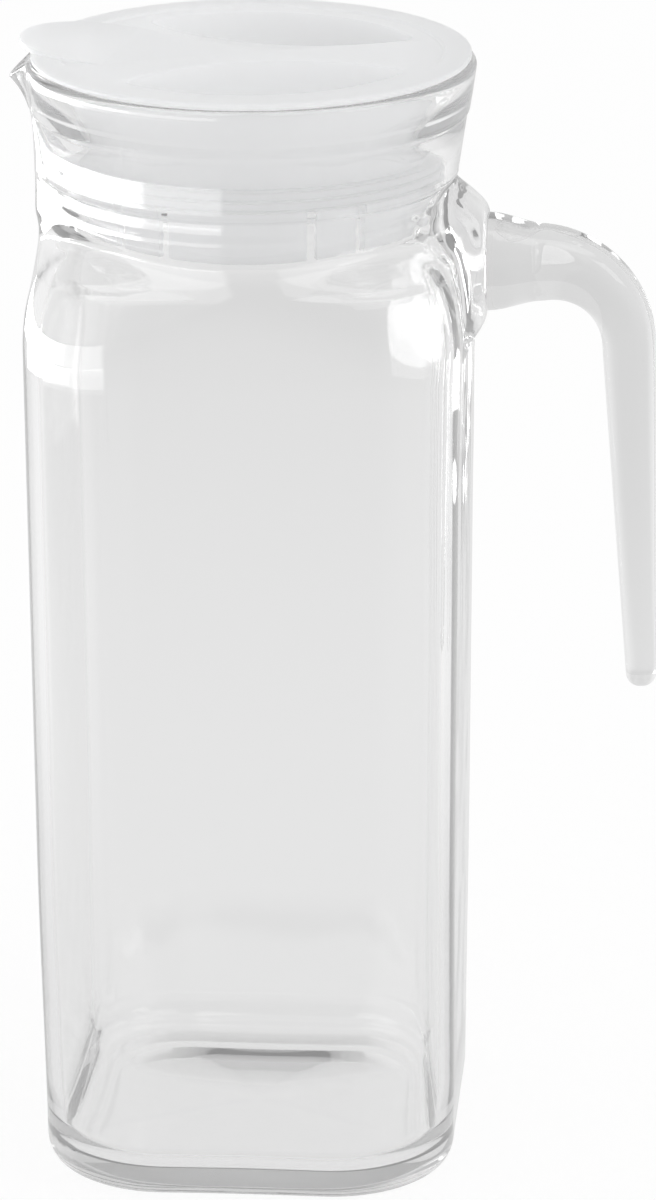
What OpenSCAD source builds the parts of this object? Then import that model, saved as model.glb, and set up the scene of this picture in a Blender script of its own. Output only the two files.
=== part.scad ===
// Square fridge jug in clear pressed glass, with a fused glass handle and a turning lid.
// Origin at the centre of the base, +Z up, +X towards the handle, the spout at -X.

/* [Body] */
// Width across the flats where the shoulder starts, from the spout's side to the handle's
body_w = 93.5; // [82:0.5:106]
// Depth across the other two flats there
body_d = 100.3; // [88:0.1:112]
// Width across the flats at the base
base_w = 90.5; // [80:0.5:102]
// Depth across the other two flats there
base_d = 97.3; // [86:0.1:108]
// Height at which the shoulder starts
body_h = 190.7; // [150:0.1:230]
// Radius of the upright corners
corner_r = 19.5; // [12:0.5:26]
// Radius of the corners at the base
base_corner_r = 26; // [18:0.5:34]
// Height over which the base corners blend into the upright corners
corner_blend_h = 75; // [30:1:110]
// Thickness of the wall
wall_t = 3.2; // [2.4:0.1:4.5]
// Thickness of the floor
floor_t = 6.5; // [4:0.5:10]
// Radius round the foot of the wall, outside
heel_r = 4; // [3:0.5:8]
// Radius between the wall and the floor, inside
floor_fillet_r = 5; // [4:0.5:10]

/* [Neck] */
// Height from the start of the shoulder to the neck
shoulder_h = 24; // [16:1:34]
// Height from the shoulder to the rim
neck_h = 32; // [28:0.5:44]
// Radius of the bore below the flare
bore_r = 41; // [37:0.5:42]
// Thickness of the glass at the groove under the collar
groove_wall_t = 2.4; // [2:0.1:3]
// Depth of that groove
groove_t = 1.5; // [0.5:0.1:2]
// Height of the collar above the neck's foot
collar_rise = 7.5; // [6:0.5:10]
// Height of the moulded line above the neck's foot
line_rise = 21; // [16:0.5:24]
// Height of the step at the moulded line, and its reach outward
line_step = 0.4; // [0.2:0.1:0.8]
// How far the neck flares between the collar and the rim
neck_flare = 3.8; // [2:0.1:6]
// Thickness of the glass at the rim
rim_t = 3.2; // [2.6:0.1:4]

/* [Spout] */
// Reach of the spout's tip past the rim
spout_reach = 4.6; // [3:0.2:8]
// Drop of the tip below the rim
spout_drop = 4; // [2:0.5:6]
// Radius of the tip
spout_tip_r = 3.2; // [2.9:0.1:5]
// Width of the pouring channel, outside
channel_w = 40; // [30:1:48]
// How far the channel stands out past the collar
channel_reach = 2; // [1:0.2:3]

/* [Handle] */
// Thickness of the fused glass between the body's flat and the handle
weld_t = 4.6; // [3:0.1:7]
// Height of the handle's middle above the start of the shoulder, at its root
root_rise = 11.4; // [6:0.2:14]
// Distance from the root to the middle of the hanging arm
arm_span = 30.5; // [24:0.5:40]
// Radius of the bend, at its middle
bend_r = 18.3; // [14:0.1:24]
// Height of the hanging arm, from the middle of the bend to the tip
arm_h = 78; // [50:1:100]
// Angle at which the arm leans outward
arm_splay = 2.6; // [0:0.2:5]
// Height of the handle at its root
root_h = 20.4; // [16:0.2:24]
// Width of the handle at its root
root_w = 20; // [14:0.5:26]
// Thickness of the handle at the bend
bend_t = 12.2; // [9:0.1:15]
// Width of the handle at the bend
bend_w = 14; // [10:0.5:20]
// Thickness of the handle near the tip
tip_t = 6.8; // [5:0.1:9]
// Width of the handle near the tip
tip_w = 9; // [6:0.5:12]

/* [Lid] */
// How far the flange stops short of the rim's outside
flange_inset = 1; // [0.5:0.1:2]
// Thickness of the flange at its raised border
flange_t = 1.3; // [1:0.1:2]
// Width of the raised border
border_w = 5.8; // [4:0.2:6]
// Drop from the border to the lid's top
border_drop = 0.5; // [0.2:0.1:0.8]
// Thickness of the moulded walls
lid_wall_t = 1.5; // [1.2:0.1:2]
// Gap between the plug and the bore
plug_gap = 2.4; // [2:0.1:3.5]
// Depth of the finger wells
well_depth = 22; // [14:0.5:24]
// Height of the slotted skirt below the wells
skirt_h = 14; // [8:0.5:16]
// Radius of the curved side of the grip bar
bar_curve_r = 41.6; // [36:0.2:50]
// Width of the grip bar at its waist
bar_waist_w = 14; // [10:0.5:20]
// Place of the waist, from the axis towards the handle
bar_waist_x = 11; // [4:0.5:16]
// Width of the slots in the skirt
slot_w = 2.2; // [1.5:0.1:4]
// Reach of the thumb tab past the flange
tab_reach = 3.4; // [2:0.2:6]
// Rise of the thumb tab's edge above the border
tab_rise = 1.8; // [0.5:0.1:3]
// Radius of the thumb tab's round end
tab_r = 17; // [12:0.5:20]

/* [Seal] */
// Number of fins
fin_count = 3; // [2:1:4]
// Thickness of a fin
fin_t = 0.7; // [0.5:0.1:1]
// Thickness of the band that carries the fins
band_t = 0.9; // [0.6:0.1:1.1]
// Height of the band
band_h = 5.2; // [4:0.2:7]

/* [Hidden] */
$fn = 72;

// Free gap between pieces that move on each other
free_gap = 0.3;
// Overrun of every cut past the face that it opens
cut = 1;

// Heights
neck_z = body_h + shoulder_h;
rim_z = neck_z + neck_h;
collar_z = neck_z + collar_rise;
line_z = neck_z + line_rise;

// Neck radii
groove_r = bore_r + groove_wall_t;
collar_r = groove_r + groove_t;
line_r = collar_r + neck_flare * (line_z - collar_z) / (rim_z - collar_z);
rim_r = collar_r + neck_flare;
mouth_r = rim_r - rim_t;
rim_edge_r = rim_t * 0.45;
neck_foot_r = groove_r + groove_t;
neck_overlap_h = 2.5;
skirting_t = 0.5;
groove_h = 2;
bore_flare_z = collar_z + groove_h * 3;

// Body rings
corner_steps = 7;
flat_steps = 6;
ring_flat = 0.8;
heel_steps = 3;
wall_steps = 3;
shoulder_steps = 12;
dome_foot_z = body_h - wall_t / 2;
inner_dome_foot_z = dome_foot_z - wall_t * 1.5;
inner_dome_top_z = neck_z - wall_t;
shoulder_top_r = neck_foot_r - skirting_t;

// Spout
spout_tip_x = rim_r + spout_reach - spout_tip_r;
channel_x = collar_r + channel_reach - channel_w / 2;
lip_t = 3;
lip_rise = line_z - collar_z;

// Handle
seam_x = body_w / 2 + weld_t;
root_z = body_h + root_rise;
bend_x = seam_x + arm_span - bend_r;
bend_z = root_z - bend_r;
handle_sides = 20;
root_steps = 4;
bend_steps = 10;
arm_steps = 12;
tip_steps = 4;
arm_top_t = bend_t * 0.95;
squareness = 0.72;

// Fused glass
foot_h = root_h * 1.45;
foot_w = root_w * 1.25;
foot_t = shoulder_h / 3;
foot_drop = 4;
plate_t = 1;

// Lid
lid_foot_z = rim_z + free_gap;
border_z = lid_foot_z + flange_t;
lid_top_z = border_z - border_drop;
flange_r = rim_r - flange_inset;
border_in_r = flange_r - border_w;
flange_edge_r = flange_t / 2.5;
plug_r = bore_r - plug_gap;
well_r = plug_r - lid_wall_t;
well_floor_z = lid_top_z - well_depth;
floor_under_z = well_floor_z - lid_wall_t;
skirt_z = floor_under_z - skirt_h;
roof_z = lid_top_z - lid_wall_t;
bar_curve_y = bar_waist_w / 2 + bar_curve_r;
slot_angles = [23.5, 40.5];
crease_x = flange_r * 0.6;
tab_x = flange_r + tab_reach - tab_r;
leaf_foot_z = lid_foot_z + flange_edge_r / 2;
tab_turn = 8;
tab_tilt = atan((border_z + tab_rise - lid_top_z) / (flange_r + tab_reach - crease_x));

// Seal
seal_in_r = plug_r + free_gap;
seal_out_r = bore_r - free_gap;
seal_mid_z = well_floor_z;
seal_low_z = seal_mid_z - band_h / 2;
fin_pitch = (band_h - fin_t) / (fin_count - 1);
keeper_t = 1;
keeper_reach = band_t + free_gap;

function mix(a, b, t) = a + (b - a) * t;
function ease(t) = t * t * (3 - 2 * t);

// Share of the body's shape that is left at height z on the way over a round shoulder: 1 below its
// foot, and 0 at its top, where it runs out softly into the round neck
function dome(z, foot, top) =
    let(u = min(1, max(0, (z - foot) / (top - foot))))
    pow(1 - pow(u, 2.4), 0.7) * ease(min(1, (1 - u) / 0.3));

// Point j on a corner of a rounded rectangle, in half sizes and the corner's radius
function corner_point(half_x, half_y, r, corner, j) =
    let(q = 90 * (corner + j / corner_steps), h = 90 * corner + 45)
    [(half_x - r) * sign(cos(h)) + r * cos(q), (half_y - r) * sign(sin(h)) + r * sin(q)];

// Ring of the body at height z, drawn in by inset: a rounded rectangle, of which the share blend is
// left and the rest is the neck's circle. Its flats have points too, so that the circle is round.
function ring(z, inset, blend = 1) =
    let(
        half_x = mix(base_w, body_w, min(1, z / body_h)) / 2 - inset,
        half_y = mix(base_d, body_d, min(1, z / body_h)) / 2 - inset,
        open_r = mix(base_corner_r, corner_r, ease(min(1, z / corner_blend_h))) - inset,
        round_r = min(open_r, min(half_x, half_y) - ring_flat / 2)
    )
    [
        for (corner = [0 : 3], j = [0 : corner_steps + flat_steps - 1])
            let(
                p = mix(
                    corner_point(half_x, half_y, round_r, corner, min(j, corner_steps)),
                    corner_point(half_x, half_y, round_r, corner + 1, 0),
                    max(0, j - corner_steps) / flat_steps
                ),
                share = mix((shoulder_top_r - inset) / norm(p), 1, blend)
            )
            [p[0] * share, p[1] * share, z]
    ];

// Rings up the heel and the wall, and over the shoulder, drawn in by inset
function heel_rings(z0, inset, r) = [
    for (i = [0 : heel_steps])
        let(a = 90 * i / heel_steps)
        ring(z0 + r * (1 - cos(a)), inset + r * (1 - sin(a))),
    for (i = [1 : wall_steps])
        ring(mix(z0 + r, corner_blend_h, i / wall_steps), inset)
];
function shoulder_rings(inset, foot, top) = [
    for (i = [0 : shoulder_steps])
        let(z = mix(foot, neck_z, i / shoulder_steps))
        ring(z, inset, dome(z, foot, top))
];
function reversed(rings) = [for (i = [len(rings) - 1 : -1 : 0]) rings[i]];
function middle(ring) = [for (p = ring) 1] * ring / len(ring);

// Solid through a stack of rings with the same number of points, each end a fan from its middle
module loft(rings) {
    n = len(rings[0]);
    last = len(rings) - 1;
    foot_middle = n * len(rings);
    head_middle = foot_middle + 1;
    sides = [
        for (i = [0 : last - 1], k = [0 : n - 1])
            let(a = i * n + k, b = i * n + (k + 1) % n)
            each [[a, a + n, b + n], [a, b + n, b]]
    ];
    foot = [for (k = [0 : n - 1]) [foot_middle, k, (k + 1) % n]];
    head = [for (k = [0 : n - 1]) [head_middle, last * n + (k + 1) % n, last * n + k]];
    polyhedron(
        points = concat([for (r = rings) each r], [middle(rings[0]), middle(rings[last])]),
        faces = concat(foot, sides, head)
    );
}

// Outline of the neck's outside, from inside the shoulder up to the round rim
function neck_outline() =
    let(groove_z = collar_z - line_step * 3)
    [
        [neck_foot_r, neck_z - neck_overlap_h],
        [neck_foot_r, neck_z],
        [groove_r, groove_z - groove_h],
        [groove_r, groove_z],
        [collar_r, collar_z],
        [line_r - line_step, line_z],
        [line_r, line_z + line_step],
        [rim_r, rim_z - rim_edge_r * 2],
        for (a = [0 : 30 : 90])
            [rim_r - rim_edge_r * (1 - cos(a)), rim_z - rim_edge_r * (1 - sin(a))]
    ];

// Outline of the neck's bore, flaring to the mouth, down from the round edge of the rim
function bore_outline() = [
    for (a = [90 : -30 : 0])
        [mouth_r + rim_edge_r * (1 - cos(a)), rim_z - rim_edge_r * (1 - sin(a))],
    [bore_r, bore_flare_z],
    [bore_r, neck_z - neck_overlap_h]
];

// Everything that the neck's bore leaves open, with room below it for the jug's inside
module bore_space() {
    rotate_extrude()
        polygon(concat(
            [[0, neck_z - shoulder_h / 2], [0, rim_z + cut], [mouth_r + rim_edge_r, rim_z + cut]],
            bore_outline(),
            [[bore_r, neck_z - shoulder_h / 2]]
        ));
}

// Pouring channel: a soft bulge down the neck, and a lip that dips to the tip
module spout_form(inset, rise) {
    bulge_z = collar_z + inset;
    lip_z = collar_z + lip_rise / 2 + inset;
    hull() {
        translate([-channel_x, 0, bulge_z])
            cylinder(d = channel_w - 2 * inset, h = rim_z + rise - bulge_z, $fn = 48);
        translate([-channel_x / 2, 0, neck_z - shoulder_h / 4 + inset])
            cylinder(d = channel_w - 2 * inset, h = lip_t, $fn = 48);
    }
    hull() {
        translate([-channel_x, 0, lip_z])
            cylinder(d = channel_w - 2 * inset, h = rim_z + rise - lip_z, $fn = 48);
        translate([-spout_tip_x, 0, rim_z - spout_drop - lip_t + inset])
            cylinder(r = spout_tip_r - inset * 0.8, h = lip_t + rise * 2, $fn = 24);
    }
}

// Wall, floor and shoulder as one skin, turned in over itself at the neck
module jug_shell() {
    outside = concat(heel_rings(0, 0, heel_r), shoulder_rings(0, dome_foot_z, neck_z));
    inside = concat(
        heel_rings(floor_t, wall_t, floor_fillet_r),
        shoulder_rings(wall_t, inner_dome_foot_z, inner_dome_top_z)
    );
    loft(concat(outside, reversed(inside)));
}

module jug_neck() {
    difference() {
        union() {
            rotate_extrude()
                polygon(concat(neck_outline(), bore_outline()));
            difference() {
                spout_form(0, 0);
                bore_space();
            }
        }
        spout_form(rim_t * 0.85, cut * 4);
    }
}

module jug_body() {
    color([0.82, 0.89, 0.9, 0.45]) {
        jug_shell();
        jug_neck();
    }
}

// Outline of the handle's section, half sizes a and b, as points round a squared ellipse
function section(a, b) = [
    for (k = [0 : handle_sides - 1])
        let(q = k * 360 / handle_sides, c = cos(q), s = sin(q))
        [a * sign(c) * pow(abs(c), squareness), b * sign(s) * pow(abs(s), squareness)]
];

// Ring of the handle round the point [x, z], square to the direction q, which turns from 0 at the
// root to 90 degrees and more on the arm
function handle_ring(x, z, q, t, w) = [
    for (p = section(w / 2, t / 2))
        [x + p[1] * sin(q), -p[0], z + p[1] * cos(q)]
];

arm_q = 90 - arm_splay;
arm_top = [bend_x + bend_r * sin(arm_q), bend_z + bend_r * cos(arm_q)];
arm_len = (arm_top[1] - bend_z + arm_h) / cos(arm_splay);
arm_body_len = arm_len - tip_t / 2;

handle_rings = [
    for (i = [0 : root_steps - 1])
        let(u = i / root_steps, v = ease(u) * 0.55)
        handle_ring(mix(seam_x, bend_x, u), root_z, 0, mix(root_h, bend_t, v), mix(root_w, bend_w, v)),
    for (i = [0 : bend_steps])
        let(u = i / bend_steps, q = arm_q * u, v = 0.55 + 0.45 * sin(90 * u))
        let(t = mix(root_h, bend_t, v), w = mix(root_w, bend_w, v))
        handle_ring(
            bend_x + bend_r * sin(q), bend_z + bend_r * cos(q), q,
            mix(t, arm_top_t, u * u), w),
    for (i = [1 : arm_steps])
        let(u = i / arm_steps, s = arm_body_len * u)
        handle_ring(
            arm_top[0] + s * sin(arm_splay), arm_top[1] - s * cos(arm_splay), arm_q,
            mix(arm_top_t, tip_t, u), mix(bend_w, tip_w, ease(u))),
    for (i = [1 : tip_steps])
        let(a = 80 * i / tip_steps, s = arm_body_len + tip_t / 2 * sin(a))
        handle_ring(
            arm_top[0] + s * sin(arm_splay), arm_top[1] - s * cos(arm_splay), arm_q,
            tip_t * cos(a), tip_w * cos(a))
];

module handle() {
    color([0.8, 0.87, 0.88, 0.5])
        loft(handle_rings);
}

// Glass gathered between the body and the handle when the two were fused
module handle_weld() {
    color([0.74, 0.82, 0.84, 0.6])
        difference() {
            hull() {
                translate([seam_x, 0, root_z])
                    rotate([90, 0, -90])
                        linear_extrude(plate_t)
                            polygon(section(root_w / 2, root_h / 2));
                translate([seam_x - weld_t - foot_t, 0, root_z - foot_drop / 2])
                    rotate([90, 0, 90])
                        linear_extrude(plate_t)
                            polygon(section(foot_w / 2, foot_h / 2));
            }
            loft(concat([ring(body_h - foot_h, 0)], shoulder_rings(0, dome_foot_z, neck_z)));
            cylinder(r = neck_foot_r, h = rim_z);
        }
}

// Plan of one finger well, grown by grow: the plug's circle cut by the bar's curved side
module well_plan(grow) {
    intersection() {
        circle(r = well_r + grow);
        translate([bar_waist_x, bar_curve_y])
            circle(r = bar_curve_r + grow);
    }
}

// Flange with its raised border, the plug's wall and the skirt, as one turned form
module lid_turned() {
    rotate_extrude()
        polygon([
            [0, skirt_z],
            [plug_r, skirt_z],
            [plug_r, lid_foot_z],
            [flange_r - flange_edge_r, lid_foot_z],
            [flange_r, lid_foot_z + flange_edge_r],
            [flange_r, border_z - flange_edge_r],
            [flange_r - flange_edge_r, border_z],
            [border_in_r, border_z],
            [border_in_r - border_drop * 2, lid_top_z],
            [0, lid_top_z]
        ]);
}

// Thumb tab, a flat leaf that rises from its crease on the lid's top to an edge over the spout
module lid_tab() {
    leaf_l = (flange_r + tab_reach - crease_x) / cos(tab_tilt) + cut;
    rotate([0, 0, -tab_turn])
        intersection() {
            translate([0, 0, leaf_foot_z])
                linear_extrude(border_z + tab_rise - leaf_foot_z)
                    hull() {
                        translate([-tab_x, 0])
                            circle(r = tab_r);
                        translate([-crease_x, 0])
                            square([lid_wall_t, tab_r * 2], center = true);
                    }
            translate([-crease_x, -tab_r, lid_top_z])
                rotate([0, tab_tilt, 0])
                    translate([-leaf_l, 0, -lid_wall_t])
                        cube([leaf_l, tab_r * 2, lid_wall_t]);
        }
}

// Rings above and below the seal that keep it on the plug
module seal_keepers() {
    for (z = [seal_low_z - free_gap - keeper_t, seal_low_z + band_h + free_gap])
        translate([0, 0, z])
            cylinder(r = plug_r + keeper_reach, h = keeper_t);
}

module lid() {
    color([0.93, 0.94, 0.95, 0.8])
        difference() {
            union() {
                lid_turned();
                lid_tab();
                seal_keepers();
            }
            for (side = [0, 1])
                mirror([0, side, 0])
                    translate([0, 0, well_floor_z])
                        linear_extrude(well_depth + cut)
                            well_plan(0);
            difference() {
                translate([0, 0, skirt_z - cut])
                    cylinder(r = well_r, h = roof_z - skirt_z + cut);
                for (side = [0, 1])
                    mirror([0, side, 0])
                        translate([0, 0, floor_under_z])
                            linear_extrude(well_depth + lid_wall_t)
                                well_plan(lid_wall_t);
            }
            for (a = slot_angles, side = [-1, 1], back = [0, 180])
                rotate([0, 0, 90 + side * a + back])
                    translate([0, -slot_w / 2, skirt_z - cut])
                        cube([plug_r + cut, slot_w, skirt_h + cut]);
        }
}

module lid_seal() {
    color([0.86, 0.88, 0.9, 0.8])
        difference() {
            union() {
                translate([0, 0, seal_low_z])
                    cylinder(r = seal_in_r + band_t, h = band_h);
                for (i = [0 : fin_count - 1])
                    translate([0, 0, seal_low_z + i * fin_pitch])
                        cylinder(r = seal_out_r, h = fin_t);
            }
            translate([0, 0, seal_low_z - cut])
                cylinder(r = seal_in_r, h = band_h + cut * 2);
        }
}

jug_body();
handle_weld();
handle();
lid();
lid_seal();
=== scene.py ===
# A squared fridge jug in clear pressed glass, with its fused glass handle and its frosted turning lid.
import bmesh
import bpy
from math import asin, atan2, cos, exp, pi, radians, sin, sqrt, tan
from mathutils import Matrix, Vector, noise


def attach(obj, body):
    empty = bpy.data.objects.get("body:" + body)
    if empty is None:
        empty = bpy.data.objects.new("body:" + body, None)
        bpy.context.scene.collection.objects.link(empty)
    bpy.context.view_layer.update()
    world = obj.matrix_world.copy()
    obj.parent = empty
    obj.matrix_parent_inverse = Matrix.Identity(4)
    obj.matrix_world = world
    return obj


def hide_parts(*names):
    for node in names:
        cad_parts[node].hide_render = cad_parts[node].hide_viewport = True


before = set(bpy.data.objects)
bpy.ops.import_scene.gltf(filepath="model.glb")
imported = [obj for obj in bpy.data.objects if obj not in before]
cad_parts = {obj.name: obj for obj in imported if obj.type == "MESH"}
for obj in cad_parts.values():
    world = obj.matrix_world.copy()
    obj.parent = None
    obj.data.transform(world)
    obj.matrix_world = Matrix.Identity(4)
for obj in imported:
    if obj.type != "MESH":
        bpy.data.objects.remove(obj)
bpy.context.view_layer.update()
mm = 0.001


# Camera
# A long lens well over a metre away, slightly to the handle's side of the front, looks down on the
# rim and is turned by a fraction of a degree.
view_distance = 1409.8 * mm
view_height = 595.2 * mm
view_azimuth = radians(5.02)
view_yaw = radians(0.65)
view_pitch = radians(18.5)
view_roll = radians(-0.26)
focal_px = 6732
frame_height_px = 1200

camera_data = bpy.data.cameras.new("camera")
camera_data.sensor_width = 36
camera_data.lens = focal_px * camera_data.sensor_width / frame_height_px
camera_data.clip_start = 0.05
camera_data.clip_end = 50
camera = bpy.data.objects.new("camera", camera_data)
bpy.context.collection.objects.link(camera)
stand = Vector((view_distance * sin(view_azimuth), -view_distance * cos(view_azimuth), view_height))
heading = Vector((-sin(view_azimuth - view_yaw), cos(view_azimuth - view_yaw), 0))
ahead = heading * cos(view_pitch) - Vector((0, 0, sin(view_pitch)))
level = Vector((heading.y, -heading.x, 0))
upright = level.cross(ahead)
right = level * cos(view_roll) + upright * sin(view_roll)
up = upright * cos(view_roll) - level * sin(view_roll)
camera.matrix_world = Matrix.Translation(stand) @ Matrix((right, up, -ahead)).transposed().to_4x4()
bpy.context.scene.camera = camera


# Jug
# One vessel of pressed and blown soda glass: a squared body with round corners and a thick floor, a
# shoulder, and a round neck with a spout drawn from its rim. The glass gathered at the handle's root
# was melted into the shoulder, so it is one with the body.
base_half_x, base_half_y = 45.25, 48.65
body_half_x, body_half_y = 46.75, 50.15
shoulder_z = 190.7
neck_z = 214.7
neck_join_z = 213.7
rim_z = 246.7
base_corner_r = 26
corner_r = 19.5
corner_blend_z = 75
mid_wall_z = 150
top_wall_z = 181
dome_foot_z = 189.1
inner_dome_foot_z = 184.3
inner_dome_top_z = 211.5
dome_power, dome_roundness, dome_runout_share = 2.4, 0.7, 0.3
wall_t = 3.2
floor_t = 5.6
heel_r = 6.5
fillet_r = 8
push_up = 2.8
floor_rise = 0.9
bore_r = 41
mouth_r = 45.4
rim_r = 48.6
rim_edge_r = 1.5
rim_band_h, rim_band_step = 5, 0.5
neck_foot_r = 44.4
neck_foot_h, neck_foot_step = 2, 0.5
groove_r = 43.2
groove_low_z, groove_high_z = 218.9, 220.7
collar_r = 44.7
collar_z = 222.2
collar_fade_z = 224.7
line_z = 235.7
line_r = 46.7
line_foot_h, line_top_h, line_step = 0.5, 0.4, 0.5
line_half_band = 0.8
flare_z = 228.2
flare_gain = 1.1
bulge_x = 27
bulge_r = 20
bulge_foot_z = 204.7
bulge_foot_h = 9
bulge_blend, bulge_blend_excess = 1.6, 0.05
bulge_wall_t = 2.8
tip_x = 50
tip_r = 3.2
lip_z = 229.7
lip_drop = 4.5
lip_blend = 0.9
lip_half_angle = 0.33
weld_t = 4.6
seam_x = body_half_x + weld_t
seam_gap = 0.15
root_z = 202.1
gather_half_h = 10.3
gather_half_w = 10.1
gather_power = 2.6
pad_edge_share, pad_foot_share, smooth_share = 1.02, 2.0, 1.12
flow_foot_z, flow_top_z = 118.7, 222.7
flow_foot_h, flow_top_h = 75, 9
flow_half_w = 25
wide_wrinkle_w, wide_wrinkle_h, wide_wrinkle_lean = 4.2, 21, 30
fine_wrinkle_w, fine_wrinkle_h = 1.9, 11
wide_swell, fine_swell = 0.9, 0.35
wide_seed, fine_seed = 0.3, 4.3
around = 224


def mix(a, b, t):
    return a + (b - a) * t


def ease(t):
    t = min(1, max(0, t))
    return t * t * (3 - 2 * t)


def soft_max(a, b, k):
    return (a + b + sqrt((a - b) ** 2 + k * k)) / 2


def side_at(half_x, half_y, r, q):
    """Distance from the axis to the side of a rounded rectangle in the direction q."""
    mx, my = half_x - r, half_y - r
    c, s = abs(cos(q)), abs(sin(q))
    if half_x * s <= my * c:
        return half_x / c
    if half_y * c <= mx * s:
        return half_y / s
    return mx * c + my * s + sqrt(max(0, r * r - (mx * s - my * c) ** 2))


def spread_directions(count):
    """Directions round the axis, closer together at the corners, the spout and the handle."""
    fine = 1440
    corner_spread, spout_spread, root_spread = 15, 13, 22
    corner_pull, spout_pull, root_pull = 0.8, 2, 1.8
    weight = []
    for i in range(fine):
        q = 360 * i / fine
        corner = max(exp(-(((q - c) / corner_spread) ** 2)) for c in (45, 135, 225, 315))
        spout = exp(-(((q - 180) / spout_spread) ** 2))
        root = exp(-((min(q, 360 - q) / root_spread) ** 2))
        weight.append(1 + corner_pull * corner + spout_pull * spout + root_pull * root)
    total, run, found = sum(weight), 0.0, []
    for i, w in enumerate(weight):
        while len(found) < count and run + w > len(found) * total / count:
            share = (len(found) * total / count - run) / w
            found.append(radians(360 * (i + share) / fine))
        run += w
    return found


def neck_radius(z):
    """Outside radius of the round neck, from the foot over the groove and the collar to the rim."""
    steps = [
        (neck_z - neck_foot_h, neck_foot_r), (neck_z + neck_foot_h, groove_r + neck_foot_step),
        (groove_low_z, groove_r), (groove_high_z, groove_r), (collar_z, collar_r),
        (line_z - line_foot_h, line_r), (line_z + line_top_h, line_r + line_step),
        (rim_z - rim_band_h, rim_r - rim_band_step), (rim_z - rim_edge_r, rim_r),
    ]
    for (z0, r0), (z1, r1) in zip(steps, steps[1:]):
        if z <= z1:
            t = min(1, max(0, (z - z0) / (z1 - z0)))
            return mix(r0, r1, ease(t) if z1 <= collar_z else t)
    return rim_r


def spout_angle(q):
    """Angle between the direction q and the spout."""
    return abs(q - pi)


def bulge_at(q):
    """Distance to the pouring channel's round back, or nothing away from the spout."""
    d = spout_angle(q)
    across = bulge_x * sin(d)
    if across >= bulge_r or d >= pi / 2:
        return 0
    return bulge_x * cos(d) + sqrt(bulge_r ** 2 - across ** 2)


def lip_at(q):
    """Distance to the pointed lip's edge: a round tip between two straight sides."""
    d = spout_angle(q)
    lean = (bulge_r - tip_r) / (tip_x - bulge_x)
    turn = pi / 2 - asin(lean)
    touch = atan2(tip_r * sin(turn), tip_x + tip_r * cos(turn))
    if d < touch:
        return tip_x * cos(d) + sqrt(tip_r ** 2 - (tip_x * sin(d)) ** 2)
    return (bulge_x * cos(turn) + bulge_r) / cos(turn - d) if d < lip_half_angle else 0


def lip_reach(q):
    """How far the lip stands out past the rim, softened where it leaves the rim's circle."""
    if spout_angle(q) >= lip_half_angle:
        return 0
    return max(0, soft_max(lip_at(q) - rim_r, 0, lip_blend) - lip_blend / 2)


def dome(z, foot, top):
    """1 below a round shoulder's foot and 0 at its top, where it runs out softly into the neck."""
    u = min(1, max(0, (z - foot) / (top - foot)))
    return (1 - u ** dome_power) ** dome_roundness * ease((1 - u) / dome_runout_share)


def body_side(q, z, inset, neck_r, foot, top):
    """The body's side at height z, which goes over a round shoulder into the round neck."""
    up_wall = min(1, z / shoulder_z)
    half_x = mix(base_half_x, body_half_x, up_wall) - inset
    half_y = mix(base_half_y, body_half_y, up_wall) - inset
    corner = mix(base_corner_r, corner_r, ease(z / corner_blend_z)) - inset
    return mix(neck_r, side_at(half_x, half_y, corner, q), dome(z, foot, top))


def shaped(q, z, d, inset):
    """Adds the pouring channel and the lip to a point at the distance d."""
    share = ease((z - bulge_foot_z) / bulge_foot_h)
    if share:
        d = mix(d, soft_max(d, bulge_at(q) - inset, bulge_blend) - bulge_blend_excess, share)
    lift = max(0, (z - lip_z) / (rim_z - lip_z)) ** 2
    d += lip_reach(q) * lift
    z -= lip_drop * lift * min(1, lip_reach(q) / (tip_x + tip_r - rim_r))
    return Vector((d * cos(q), d * sin(q), z))


def gathered(p, q):
    """The outside swells to a flat pad at the handle's root and wrinkles where the glass flowed."""
    across, along = abs(p.y / gather_half_w), abs((p.z - root_z) / gather_half_h)
    reach = (across ** gather_power + along ** gather_power) ** (1 / gather_power)
    pad = ease((pad_foot_share - reach) / (pad_foot_share - pad_edge_share))
    flow = exp(-((p.y / flow_half_w) ** 2))
    flow *= ease((p.z - flow_foot_z) / flow_foot_h) * ease((flow_top_z - p.z) / flow_top_h)
    flow *= 1 - ease((smooth_share - reach) / (smooth_share - 1))
    lean = p.y / wide_wrinkle_lean
    wide = noise.noise(Vector((p.y / wide_wrinkle_w, p.z / wide_wrinkle_h + lean, wide_seed)))
    fine = noise.noise(Vector((p.y / fine_wrinkle_w, p.z / fine_wrinkle_h, fine_seed)))
    swell = flow * (wide_swell * wide + fine_swell * fine)
    p += Vector((cos(q), sin(q), 0)) * swell
    p.x = mix(p.x, max(seam_x - seam_gap, p.x), pad)
    return p


def outside(q, z):
    """Point of the jug's outside in the direction q at the nominal height z."""
    d = body_side(q, z, 0, neck_foot_r, dome_foot_z, neck_z) if z < neck_join_z else neck_radius(z)
    point = shaped(q, z, d, 0)
    return gathered(point, q) if cos(q) > 0 else point


def inside(q, z):
    """Point of the jug's inside in the direction q at the nominal height z."""
    if z < neck_join_z:
        d = body_side(q, z, wall_t, bore_r, inner_dome_foot_z, inner_dome_top_z)
    else:
        d = mix(bore_r, mouth_r, ease(flare_gain * (z - flare_z) / (rim_z - flare_z)))
    return shaped(q, z, d, bulge_wall_t)


def place(loop, points):
    """Moves a loop of vertices, in order, to these points in millimetres."""
    for vert, point in zip(loop, points):
        vert.co = point * mm


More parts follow.
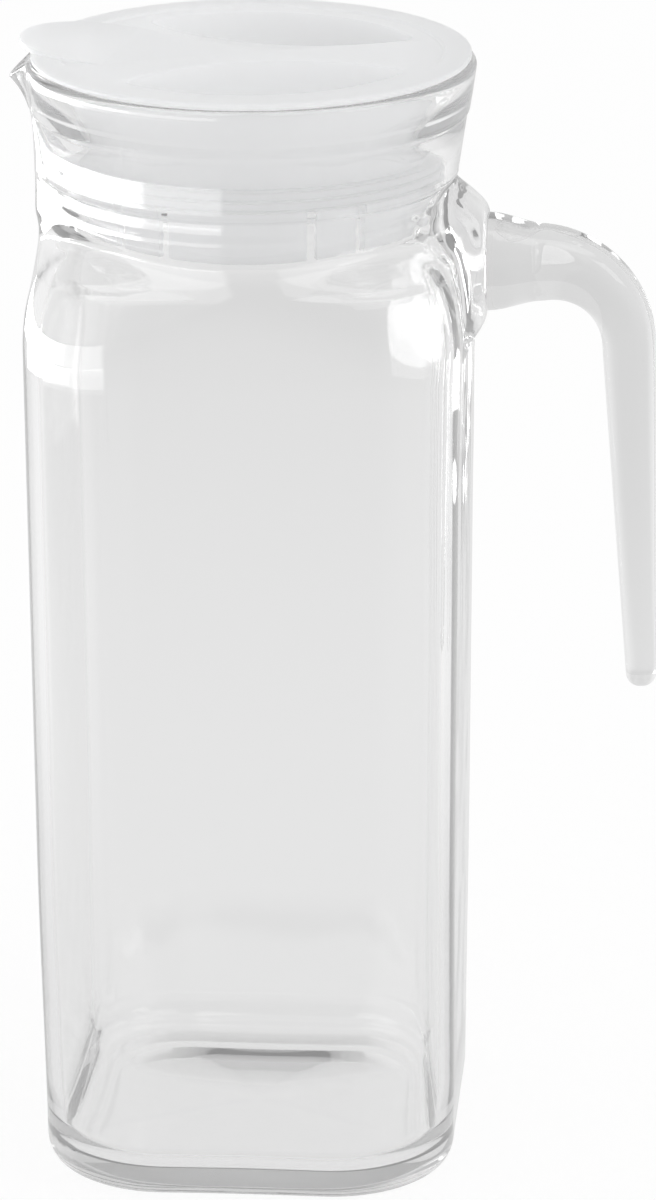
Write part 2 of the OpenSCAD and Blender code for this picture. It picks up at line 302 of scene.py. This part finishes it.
def grow(bm, loop, points):
    """Extrudes the loop's edges and puts the new loop on these points."""
    edges = [bm.edges.get((a, b)) for a, b in zip(loop, loop[1:] + loop[:1])]
    made = set(bmesh.ops.extrude_edge_only(bm, edges=edges)["geom"])
    partners = [next(e.other_vert(v) for e in v.link_edges if e.other_vert(v) in made) for v in loop]
    place(partners, points)
    return partners


def stack(rings):
    """Skins closed rings of points from the first to the last, and closes both ends."""
    bm = bmesh.new()
    start = loop = bmesh.ops.create_circle(bm, segments=len(rings[0]), radius=1)["verts"]
    place(start, rings[0])
    for points in rings[1:]:
        loop = grow(bm, loop, points)
    for end in (start, loop):
        bm.faces.new(end)
    bmesh.ops.recalc_face_normals(bm, faces=bm.faces)
    return bm


def finished(bm, name, body, slot, material, *nodes, sharp=35):
    """Makes the mesh a smooth-shaded piece that rides on a body and stands for CAD nodes."""
    for face in bm.faces:
        face.smooth = True
    for edge in bm.edges:
        edge.smooth = len(edge.link_faces) == 2 and edge.calc_face_angle() < radians(sharp)
    mesh = bpy.data.meshes.new(name)
    bm.to_mesh(mesh)
    bm.free()
    piece = bpy.data.objects.new(name, mesh)
    bpy.context.collection.objects.link(piece)
    mesh.materials.append(material)
    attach(piece, body)
    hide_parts(*nodes)


class Value:
    """A shader socket on which Python's operators add Math nodes."""

    def __init__(self, recipe, socket):
        self.recipe, self.socket = recipe, socket

    def math(self, operation, *others):
        return self.recipe.node("ShaderNodeMath", {"operation": operation}, self, *others)

    def __add__(self, other):
        return self.math("ADD", other)

    def __mul__(self, other):
        return self.math("MULTIPLY", other)

    def __sub__(self, other):
        return self.math("SUBTRACT", other)

    def __rsub__(self, other):
        return self.recipe.node("ShaderNodeMath", {"operation": "SUBTRACT"}, other, self)

    __radd__, __rmul__ = __add__, __mul__

    def from_to(self, low, high):
        """0 at low, 1 at high, smooth between."""
        settings = {"interpolation_type": "SMOOTHSTEP"}
        return self.recipe.node("ShaderNodeMapRange", settings, self, low, high, 0.0, 1.0)


class Recipe:
    """A node tree that is written as expressions on Values."""

    def __init__(self, tree):
        self.tree = tree
        tree.nodes.clear()

    def node(self, kind, settings=None, *inputs, out=0, **named):
        made = self.tree.nodes.new(kind)
        for key, value in (settings or {}).items():
            setattr(made, key, value)
        wires = list(zip(made.inputs, inputs))
        wires += [(made.inputs[key.replace("_", " ")], value) for key, value in named.items()]
        for socket, value in wires:
            if isinstance(value, Value):
                self.tree.links.new(value.socket, socket)
            else:
                socket.default_value = value
        return Value(self, made.outputs[out]) if made.outputs else None


def new_material(name):
    material = bpy.data.materials.new(name)
    material.use_nodes = True
    return material, Recipe(material.node_tree)


def crossing_light(r):
    """Says whether light has met a matt surface, with a shader that it crosses straight."""
    scattered = r.node("ShaderNodeLightPath", out="Diffuse Depth").math("GREATER_THAN", 0.5)
    return scattered, r.node("ShaderNodeBsdfTransparent", Color=(0.97, 0.97, 0.97, 1))


def glass(name, waviness, tint):
    """Clear glass with a faint wave from the mould, and a grey that deepens with thickness.

    Light that is still trapped after four reflections leaves straight and dimmed, where the renderer
    would end it in black, and light from matt surfaces crosses straight, where it would be blurred.
    """
    material, r = new_material(name)
    position = r.node("ShaderNodeTexCoord", out=3)
    broad = r.node("ShaderNodeTexNoise", Vector=position, Scale=42.0, Detail=1.0)
    bump = r.node("ShaderNodeBump", Strength=waviness, Distance=0.001, Height=broad)
    surface = r.node(
        "ShaderNodeBsdfPrincipled", Base_Color=(tint, tint, tint, 1), Roughness=0.0, IOR=1.5,
        Transmission_Weight=1.0, Normal=bump,
    )
    absorption = r.node("ShaderNodeVolumeAbsorption", Color=(0.12, 0.12, 0.12, 1), Density=3.5)
    trapped = r.node("ShaderNodeLightPath", out="Glossy Depth").math("GREATER_THAN", 3.5)
    leaving = r.node("ShaderNodeBsdfTransparent", Color=(0.75, 0.75, 0.75, 1))
    scattered, crossing = crossing_light(r)
    both = r.node("ShaderNodeMixShader", None, trapped, surface, leaving)
    both = r.node("ShaderNodeMixShader", None, scattered, both, crossing)
    r.node("ShaderNodeOutputMaterial", Surface=both, Volume=absorption)
    return material


directions = spread_directions(around)
quarter_steps = 7
quarter = [pi / 2 * i / quarter_steps for i in range(quarter_steps + 1)]
rim_steps = 10
floor_shares = (0.04, 0.15, 0.3, 0.45, 0.6, 0.75, 0.88, 0.96)


def heel_point(side, q, foot_z, r, a):
    """Point on the quarter round between a level floor and the wall."""
    point = side(q, foot_z + r * (1 - cos(a)))
    return point - Vector((point.x, point.y, 0)).normalized() * r * (1 - sin(a))


def floor_rings(side, foot_z, r, crown):
    """Rings across a floor, from near its middle to where the wall's foot starts."""
    edge = [heel_point(side, q, foot_z, r, 0) for q in directions]
    rings = []
    for share in floor_shares:
        level = foot_z + crown * (1 - share * share) ** 2
        rings.append([Vector((p.x * share, p.y * share, level)) for p in edge])
    return rings


def heights(*spans):
    """Heights that run through spans of (start, end, step count), each end left to the next."""
    return [mix(z0, z1, i / n) for z0, z1, n in spans for i in range(n)] + [spans[-1][1]]


def rim_point(q, a):
    """Point over the round rim, from the outside at a = 0 to the inside at a = pi."""
    outer, inner = outside(q, rim_z - rim_edge_r), inside(q, rim_z - rim_edge_r)
    return mix(inner, outer, (1 + cos(a)) / 2) + Vector((0, 0, rim_edge_r * sin(a)))


edge_z = rim_z - rim_edge_r
line_low_z, line_high_z = line_z - line_half_band, line_z + line_half_band
outer_heights = heights(
    (heel_r, corner_blend_z, 9), (corner_blend_z, mid_wall_z, 12), (mid_wall_z, top_wall_z, 16),
    (top_wall_z, neck_z, 36), (neck_z, collar_fade_z, 24), (collar_fade_z, line_low_z, 9),
    (line_low_z, line_high_z, 6), (line_high_z, edge_z, 9),
)
inner_heights = heights(
    (edge_z, flare_z, 14), (flare_z, neck_z, 8), (neck_z, inner_dome_foot_z, 30),
    (inner_dome_foot_z, corner_blend_z, 13), (corner_blend_z, floor_t + fillet_r, 8),
)
jug_rings = floor_rings(outside, 0, heel_r, push_up)
jug_rings += [[heel_point(outside, q, 0, heel_r, a) for q in directions] for a in quarter[:-1]]
jug_rings += [[outside(q, z) for q in directions] for z in outer_heights]
jug_rings += [[rim_point(q, pi * i / rim_steps) for q in directions] for i in range(1, rim_steps)]
jug_rings += [[inside(q, z) for q in directions] for z in inner_heights]
jug_rings += [[heel_point(inside, q, floor_t, fillet_r, a) for q in directions] for a in quarter[-2::-1]]
jug_rings += floor_rings(inside, floor_t, fillet_r, floor_rise)[::-1]

pressed_glass = glass("pressed glass", 0.05, 0.988)
finished(stack(jug_rings), "jug", "jug", "jug_glass", pressed_glass, "jug_body", "handle_weld")


# Handle
# A separate hook of pressed glass, fused to the pad on the shoulder. It is deep at the root, bends
# over and hangs free, and tapers to a round tip.
arm_span = 30.5
bend_r = 18.3
arm_end_z = 105.7
arm_splay = radians(2.6)
squareness = 0.7
root_half_h, root_half_w = 10.2, 10
bend_half_t, bend_half_w = 6.1, 7
arm_half_t = 5.8
tip_half_t, tip_half_w = 3.4, 4.5
tip_turn = radians(88)
slim_share = 0.55
sides = 56
root_steps, bend_steps, arm_steps, tip_steps = 10, 24, 30, 10


def handle_ring(x, z, q, half_t, half_w):
    """Squared oval round the point (x, z), square to the path's direction q."""
    ring = []
    for i in range(sides):
        c, s = cos(2 * pi * i / sides), sin(2 * pi * i / sides)
        across = half_w * abs(c) ** squareness * (1 if c > 0 else -1)
        out = half_t * abs(s) ** squareness * (1 if s > 0 else -1)
        ring.append(Vector((x + out * sin(q), -across, z + out * cos(q))))
    return ring


bend_x = seam_x + arm_span - bend_r
bend_z = root_z - bend_r
arm_turn = pi / 2 - arm_splay
arm_x = bend_x + bend_r * sin(arm_turn)
arm_z = bend_z + bend_r * cos(arm_turn)
arm_length = (arm_z - arm_end_z) / cos(arm_splay) - tip_half_t


def on_arm(s):
    """Place and direction on the straight arm, at s below its top."""
    return arm_x + s * sin(arm_splay), arm_z - s * cos(arm_splay), arm_turn


handle_rings = []
for i in range(root_steps):
    u = i / root_steps
    slim = slim_share * ease(u)
    handle_rings.append(handle_ring(
        mix(seam_x, bend_x, u), root_z, 0,
        mix(root_half_h, bend_half_t, slim), mix(root_half_w, bend_half_w, slim)))
for i in range(bend_steps + 1):
    u = i / bend_steps
    q = arm_turn * u
    slim = slim_share + (1 - slim_share) * sin(pi / 2 * u)
    handle_rings.append(handle_ring(
        bend_x + bend_r * sin(q), bend_z + bend_r * cos(q), q,
        mix(mix(root_half_h, bend_half_t, slim), arm_half_t, u * u),
        mix(root_half_w, bend_half_w, slim)))
for i in range(1, arm_steps + 1):
    u = i / arm_steps
    handle_rings.append(handle_ring(
        *on_arm(arm_length * u),
        mix(arm_half_t, tip_half_t, u), mix(bend_half_w, tip_half_w, ease(u))))
for i in range(1, tip_steps + 1):
    a = tip_turn * i / tip_steps
    handle_rings.append(handle_ring(
        *on_arm(arm_length + tip_half_t * sin(a)), tip_half_t * cos(a), tip_half_w * cos(a)))

# The handle's glass is greyer than the jug's: a painted shade that darkens the solid handle.
handle_glass = glass("handle glass", 0.3, 0.922)
finished(stack(handle_rings), "handle", "jug", "handle_glass", handle_glass, "handle", sharp=60)


# Lid
# One injection moulding in frosted translucent plastic: a flange with a raised border, a thumb tab
# over the spout, two deep finger wells either side of a waisted grip bar, and a slotted skirt.
flange_foot_z = 247.0
border_z = 248.3
lid_top_z = 247.8
flange_r = 47.5
flange_edge_r = 0.45
flange_foot_r = 0.5
border_in_r = 41.8
border_slope_w = 0.6
border_top_r, border_foot_r = 0.15, 0.2
plug_r = 38.6
skirt_edge_r = 0.3
lid_wall_t = 1.5
well_r = plug_r - lid_wall_t
well_floor_z = 225.8
roof_z = lid_top_z - lid_wall_t
roof_fillet_r = 0.6
skirt_z = 210.3
bar_waist_x = 11
bar_waist_half_w = 7
bar_curve_r = 41.6
bar_curve_y = bar_waist_half_w + bar_curve_r
well_end_r = 3
well_fillet_r = 2.6
well_fillet_steps = 5
# Each pair is how much wider the well's mouth is, at a height over the lid's top.
well_mouth = ((0, -0.6), (0.05, -0.35), (0.2, -0.12), (0.6, 0.05))
well_mouth_w, well_mouth_h = 0.7, 3
well_shell_t, well_shell_drop = 0.9, 0.7
well_side_steps, well_end_steps = 56, 12
slot_w = 2.2
slot_top_z = 224.3
slot_cut_depth, slot_cut_h = 6, 30
slot_cut_inset = 0.5
slot_angles = (23.5, 40.5)
crease_x = 28.6
tab_r = 17
tab_reach = 3.4
tab_rise = 1.8
tab_t = 1.4
tab_foot_gap = 0.2
tab_turn = radians(8)
tab_round_steps = 40
tab_edge_r = 0.35
# Each pair is the edge's inset, at a drop from the tab's top.
tab_edge = ((tab_edge_r, tab_t), (0, tab_t - tab_edge_r), (0, tab_edge_r), (0.12, 0.1), (0.4, 0))


def turned(profile, steps=192):
    """Spins a closed outline of (radius, height) points, in millimetres, round the axis."""
    merge_gap = 0.002
    bm = bmesh.new()
    verts = [bm.verts.new((x * mm, 0, z * mm)) for x, z in profile]
    edges = [bm.edges.new(pair) for pair in zip(verts, verts[1:] + verts[:1])]
    bmesh.ops.spin(
        bm, geom=verts + edges, cent=(0, 0, 0), axis=(0, 0, 1), angle=2 * pi, steps=steps,
        use_merge=True)
    bmesh.ops.remove_doubles(bm, verts=bm.verts, dist=merge_gap * mm)
    bmesh.ops.recalc_face_normals(bm, faces=bm.faces)
    return bm


def rounded(corners, steps=4):
    """Outline through (x, z, radius) corners, each rounded by an arc."""
    points = []
    for i, (x, z, r) in enumerate(corners):
        here = Vector((x, z))
        before = (Vector(corners[i - 1][:2]) - here).normalized()
        after = (Vector(corners[(i + 1) % len(corners)][:2]) - here).normalized()
        if not r:
            points.append((x, z))
            continue
        half = before.angle(after) / 2
        start = here + before * r / tan(half)
        centre = here + (before + after).normalized() * r / sin(half)
        sweep = pi - 2 * half
        side = 1 if before.cross(after) < 0 else -1
        for k in range(steps + 1):
            arm = (start - centre).copy()
            arm.rotate(Matrix.Rotation(side * sweep * k / steps, 2))
            points.append(tuple(centre + arm))
    return points


def carved(bm, others):
    """Joins other closed meshes to this one, or cuts them out of it."""
    def as_object(made):
        mesh = bpy.data.meshes.new("form")
        made.to_mesh(mesh)
        made.free()
        form = bpy.data.objects.new("form", mesh)
        bpy.context.collection.objects.link(form)
        return form

    whole = as_object(bm)
    tools = []
    for operation, made in others:
        tools.append(as_object(made))
        step = whole.modifiers.new("carve", "BOOLEAN")
        step.operation, step.object, step.solver = operation, tools[-1], "EXACT"
    result = bmesh.new()
    result.from_object(whole, bpy.context.evaluated_depsgraph_get())
    for form in [whole] + tools:
        bpy.data.meshes.remove(form.data)
    return result


def arc(centre, r, start, end, steps):
    """Points from the angle start up to, but not at, the angle end."""
    angles = [mix(start, end, i / steps) for i in range(steps)]
    return [(centre[0] + r * cos(a), centre[1] + r * sin(a)) for a in angles]


def well_ring(inset, z, side):
    """Lens between the plug's circle and the bar's curved side, with round ends, drawn in by inset."""
    cx, cy = bar_waist_x, bar_curve_y
    r1, r2 = well_r - well_end_r, bar_curve_r - well_end_r
    apart = sqrt(cx * cx + cy * cy)
    along = (r1 * r1 - r2 * r2 + apart * apart) / (2 * apart)
    off = sqrt(r1 * r1 - along * along)
    ux, uy = cx / apart, cy / apart
    ends = [(along * ux + s * off * uy, along * uy - s * off * ux) for s in (1, -1)]
    out = [atan2(y, x) for x, y in ends]
    back = [atan2(y - cy, x - cx) for x, y in ends]
    full_turn = 2 * pi
    points = arc((0, 0), well_r - inset, out[0], out[1], well_side_steps)
    points += arc(ends[1], well_end_r - inset, out[1], back[1] + full_turn, well_end_steps)
    bar_span = (back[1] + full_turn, back[0] + full_turn)
    points += arc((cx, cy), bar_curve_r - inset, *bar_span, well_side_steps)
    points += arc(ends[0], well_end_r - inset, back[0], out[0], well_end_steps)
    return [Vector((x, y * side, z)) for x, y in points]


def well_space(side):
    """The open space of one well, rounded over at its mouth and filleted at its floor."""
    rings = []
    for i in range(well_fillet_steps + 1):
        a = pi / 2 * i / well_fillet_steps
        z = well_floor_z + well_fillet_r * (1 - cos(a))
        rings.append(well_ring(well_fillet_r * (1 - sin(a)), z, side))
    rings += [well_ring(-wider, lid_top_z + higher, side) for wider, higher in well_mouth]
    rings.append(well_ring(-well_mouth_w, border_z + well_mouth_h, side))
    return stack(rings)


def well_shell(side):
    """The moulded wall round one well, under the lid's top."""
    span = (well_floor_z - lid_wall_t, lid_top_z - well_shell_drop)
    return stack([well_ring(-well_shell_t, z, side) for z in span])


def slot_cutter(q):
    """The open space of one slot in the skirt, in the direction q."""
    bm = bmesh.new()
    bmesh.ops.create_cube(bm, size=1)
    size = Vector((slot_cut_depth, slot_w, slot_cut_h))
    middle = Vector((plug_r - slot_cut_inset, 0, slot_top_z - slot_cut_h / 2))
    bmesh.ops.scale(bm, vec=size * mm, verts=bm.verts)
    bmesh.ops.translate(bm, vec=middle * mm, verts=bm.verts)
    bmesh.ops.rotate(bm, matrix=Matrix.Rotation(q, 3, "Z"), verts=bm.verts)
    return bm


tab_x = flange_r + tab_reach - tab_r
tab_slope = (border_z + tab_rise - lid_top_z) / (flange_r + tab_reach - crease_x)


def tab_ring(inset, drop):
    """Outline of the thumb tab on its tilted plane, drawn in by inset and lowered by drop."""
    plan = arc((-tab_x, 0), tab_r - inset, pi / 2, 3 * pi / 2, tab_round_steps)
    plan += [(-crease_x - inset, -tab_r + inset), (-crease_x - inset, tab_r - inset)]
    ring = []
    for x, y in plan:
        z = max(lid_top_z + (-x - crease_x) * tab_slope - drop, flange_foot_z + tab_foot_gap)
        ring.append(Matrix.Rotation(-tab_turn, 3, "Z") @ Vector((x, y, z)))
    return ring


def frosted(name, tint, grain_scale):
    """Translucent plastic with a fine moulded grain, which scattered light partly crosses."""
    material, r = new_material(name)
    position = r.node("ShaderNodeTexCoord", out=3)
    grain = r.node("ShaderNodeTexNoise", Vector=position, Scale=grain_scale, Detail=2.0)
    cloud = r.node("ShaderNodeTexNoise", Vector=position, Scale=55.0, Detail=2.0)
    bump = r.node("ShaderNodeBump", Strength=0.06, Distance=0.0003, Height=grain)
    surface = r.node(
        "ShaderNodeBsdfPrincipled", Base_Color=(*tint, 1), Roughness=cloud * 0.14 + 0.26, IOR=1.46,
        Normal=bump,
    )
    glow = r.node("ShaderNodeBsdfTranslucent", Color=(*tint, 1), Normal=bump)
    both = r.node("ShaderNodeMixShader", None, 0.5, surface, glow)
    scattered, crossing = crossing_light(r)
    both = r.node("ShaderNodeMixShader", None, scattered * 0.85, both, crossing)
    r.node("ShaderNodeOutputMaterial", Surface=both)
    return material


lid_plastic = frosted("frosted plastic", (0.95, 0.953, 0.957), 1400.0)
lid_form = turned(rounded([
    (0, roof_z, 0), (well_r, roof_z, roof_fillet_r), (well_r, skirt_z, skirt_edge_r),
    (plug_r, skirt_z, skirt_edge_r), (plug_r, flange_foot_z, flange_foot_r),
    (flange_r, flange_foot_z, flange_edge_r), (flange_r, border_z, flange_edge_r),
    (border_in_r, border_z, border_top_r), (border_in_r - border_slope_w, lid_top_z, border_foot_r),
    (0, lid_top_z, 0),
]))
tab_form = stack([tab_ring(inset, drop) for inset, drop in tab_edge])
lid_mesh = carved(lid_form, [
    ("UNION", tab_form), ("UNION", well_shell(1)), ("UNION", well_shell(-1)),
    ("DIFFERENCE", well_space(1)), ("DIFFERENCE", well_space(-1)),
] + [
    ("DIFFERENCE", slot_cutter(radians(90 + side * a + back)))
    for a in slot_angles for side in (-1, 1) for back in (0, 180)
])
finished(lid_mesh, "lid", "lid", "lid_plastic", lid_plastic, "lid", sharp=28)


# Seal
# A soft translucent ring, stretched over the lid's plug. A thin band holds three round-edged fins,
# which press on the neck's bore.
band_in_r = 38.9
band_r = 39.8
fin_r = 40.7
fin_half_t = 0.35
fin_count = 3
fin_steps = 4
band_low_z, band_high_z = 223.2, 228.4


def seal_outline():
    """Outline of the ring's section: the band, with the fins along its outside."""
    outline = [(band_in_r, band_low_z), (band_in_r, band_high_z)]
    pitch = (band_high_z - band_low_z - 2 * fin_half_t) / (fin_count - 1)
    for i in reversed(range(fin_count)):
        z = band_low_z + fin_half_t + i * pitch
        outline.append((band_r, z + fin_half_t))
        for k in range(fin_steps + 1):
            a = pi / 2 - pi * k / fin_steps
            outline.append((fin_r - fin_half_t * (1 - cos(a)), z + fin_half_t * sin(a)))
        outline.append((band_r, z - fin_half_t))
    return outline


seal_rubber = frosted("soft seal", (0.94, 0.943, 0.947), 900.0)
finished(turned(seal_outline()), "seal", "seal", "seal_rubber", seal_rubber, "lid_seal", sharp=50)


# Studio
# A pale sweep under and behind the jug, whose far patches glow with painted light that the glass
# shows as softbox reflections, white tents high on both sides and far to the left, and a dimmer room
# over the camera. These levels show only in reflections and through the glass. The camera sees plain
# white directly, and the light on the jug is plain too.
base_dim, room_dim, ceiling_dim = 0.2, 0.4, 0.25
side_level = 0.14
tent_level, low_tent_share = 1.2, 0.45
floor_level, behind_dim = 0.8, 0.08
white_glow_level, left_glow_level = 3, 7
plain_share = 0.85
# Each zone of the floor, the painted glow among them, starts and is full at these distances from the
# jug, in metres.
behind_span, sides_span = (0.2, 0.8), (0.12, 0.4)
pale_glow_span, white_glow_span, left_glow_span = (0.66, 0.672), (0.741, 0.756), (0.8, 0.84)
# Directions in plan, each with the two cosines between which it fades in.
left_front = ((-0.86, -0.51), 0.66, 0.72)
left_side = ((-0.974, 0.225), 0.7, 0.75)
right_front = ((0.9, -0.44), 0.66, 0.72)


def plan_direction(r, vector):
    """The vector's direction in plan."""
    flat = r.node("ShaderNodeVectorMath", {"operation": "MULTIPLY"}, vector, (1, 1, 0))
    return r.node("ShaderNodeVectorMath", {"operation": "NORMALIZE"}, flat)


def toward_plan(r, vector, aim, low, high):
    """1 where the vector points near the aim in plan, and 0 away from it, between two cosines."""
    aim = tuple(Vector((*aim, 0)).normalized())
    settings = {"operation": "DOT_PRODUCT"}
    across = r.node("ShaderNodeVectorMath", settings, plan_direction(r, vector), aim, out="Value")
    return across.from_to(low, high)


def aside(r, vector):
    """1 to the left and right of the jug, and 0 in front of it and behind it."""
    across = r.node("ShaderNodeSeparateXYZ", None, plan_direction(r, vector), out="X")
    return across.math("ABSOLUTE").from_to(0.25, 0.6)


def through_glass(r):
    """1 for a ray that comes from the camera by clear surfaces alone, and 0 for light on the object."""
    mirrored = r.node("ShaderNodeLightPath", out="Is Glossy Ray")
    refracted = r.node("ShaderNodeLightPath", out="Is Transmission Ray")
    scattered = r.node("ShaderNodeLightPath", out="Diffuse Depth").math("MINIMUM", 1.0)
    return (mirrored + refracted).math("MINIMUM", 1.0) * (1 - scattered)


def stage_floor():
    """The sweep is plain white to the camera and matt to light. Only clear rays see its zones: painted
    shade on a stretch behind the jug, brighter sides, and far patches of painted glow that the glass
    shows as softbox reflections.
    """
    material, r = new_material("sweep")
    by_camera = r.node("ShaderNodeLightPath", out="Is Camera Ray")
    seen = (by_camera + through_glass(r)).math("MINIMUM", 1.0)
    place_on_floor = r.node("ShaderNodeTexCoord", out="Object")
    behind = r.node("ShaderNodeSeparateXYZ", None, place_on_floor, out="Y").from_to(*behind_span)
    far = r.node("ShaderNodeVectorMath", {"operation": "LENGTH"}, place_on_floor, out="Value")
    front = toward_plan(r, place_on_floor, *left_front)
    # Painted light: far patches of the sweep glow, in front to the left and to the left, and the glass
    # shows them as softbox reflections.
    painted_glow = front * far.from_to(*pale_glow_span) + front * far.from_to(*white_glow_span) * white_glow_level
    painted_glow = painted_glow + toward_plan(r, place_on_floor, *left_side) * far.from_to(*left_glow_span) * left_glow_level
    sides = aside(r, place_on_floor) * far.from_to(*sides_span) * side_level
    reflected = floor_level - behind * behind_dim + sides + painted_glow
    level = by_camera + (1 - by_camera) * reflected
    matt = r.node("ShaderNodeBsdfDiffuse", Color=(0.92, 0.92, 0.92, 1))
    white = r.node("ShaderNodeEmission", Color=level)
    both = r.node("ShaderNodeMixShader", None, seen * plain_share, matt, white)
    r.node("ShaderNodeOutputMaterial", Surface=both)
    bm = bmesh.new()
    bmesh.ops.create_grid(bm, x_segments=1, y_segments=1, size=6)
    mesh = bpy.data.meshes.new("sweep")
    bm.to_mesh(mesh)
    bm.free()
    mesh.materials.append(material)
    sweep = bpy.data.objects.new("sweep", mesh)
    bpy.context.collection.objects.link(sweep)


stage_floor()

world = bpy.data.worlds.new("studio")
bpy.context.scene.world = world
world.use_nodes = True
r = Recipe(world.node_tree)
direction = r.node("ShaderNodeTexCoord", out="Generated")


def toward(aim, low, high):
    """0 where the view direction is far from the aim, and 1 near it, between two cosines."""
    aim = tuple(Vector(aim).normalized())
    settings = {"operation": "DOT_PRODUCT"}
    return r.node("ShaderNodeVectorMath", settings, direction, aim, out="Value").from_to(low, high)


room = toward((0.1, -0.8, 0.6), 0.75, 0.93)
ceiling = toward((0, 0, 1), 0.88, 0.97)
height = r.node("ShaderNodeSeparateXYZ", None, direction, out="Z")
overhead = height.from_to(0.74, 0.8)
tents = toward_plan(r, direction, *left_front)
tents = tents * (height.from_to(-0.02, 0.02) * low_tent_share + overhead)
tents = tents + toward_plan(r, direction, *right_front) * overhead
bright = aside(r, direction) * side_level + tents * tent_level
dim = room * room_dim + ceiling * ceiling_dim + base_dim
strength = 1 - through_glass(r) * (dim - bright)
sky = r.node("ShaderNodeBackground", None, (1, 1, 1, 1), strength)
r.node("ShaderNodeOutputWorld", None, sky)


def panel(name, spot, target, width, height, power):
    """White panel of light that faces a point."""
    light = bpy.data.lights.new(name, "AREA")
    light.shape = "RECTANGLE"
    light.size, light.size_y, light.energy = width, height, power
    lamp = bpy.data.objects.new(name, light)
    bpy.context.collection.objects.link(lamp)
    lamp.location = spot
    lamp.rotation_euler = (Vector(target) - Vector(spot)).to_track_quat("-Z", "Y").to_euler()


panel("right_panel", (0.6, -0.25, 0.58), target=(0, 0, 0.3), width=0.3, height=0.26, power=0.4)

bpy.context.scene.view_settings.view_transform = "Standard"
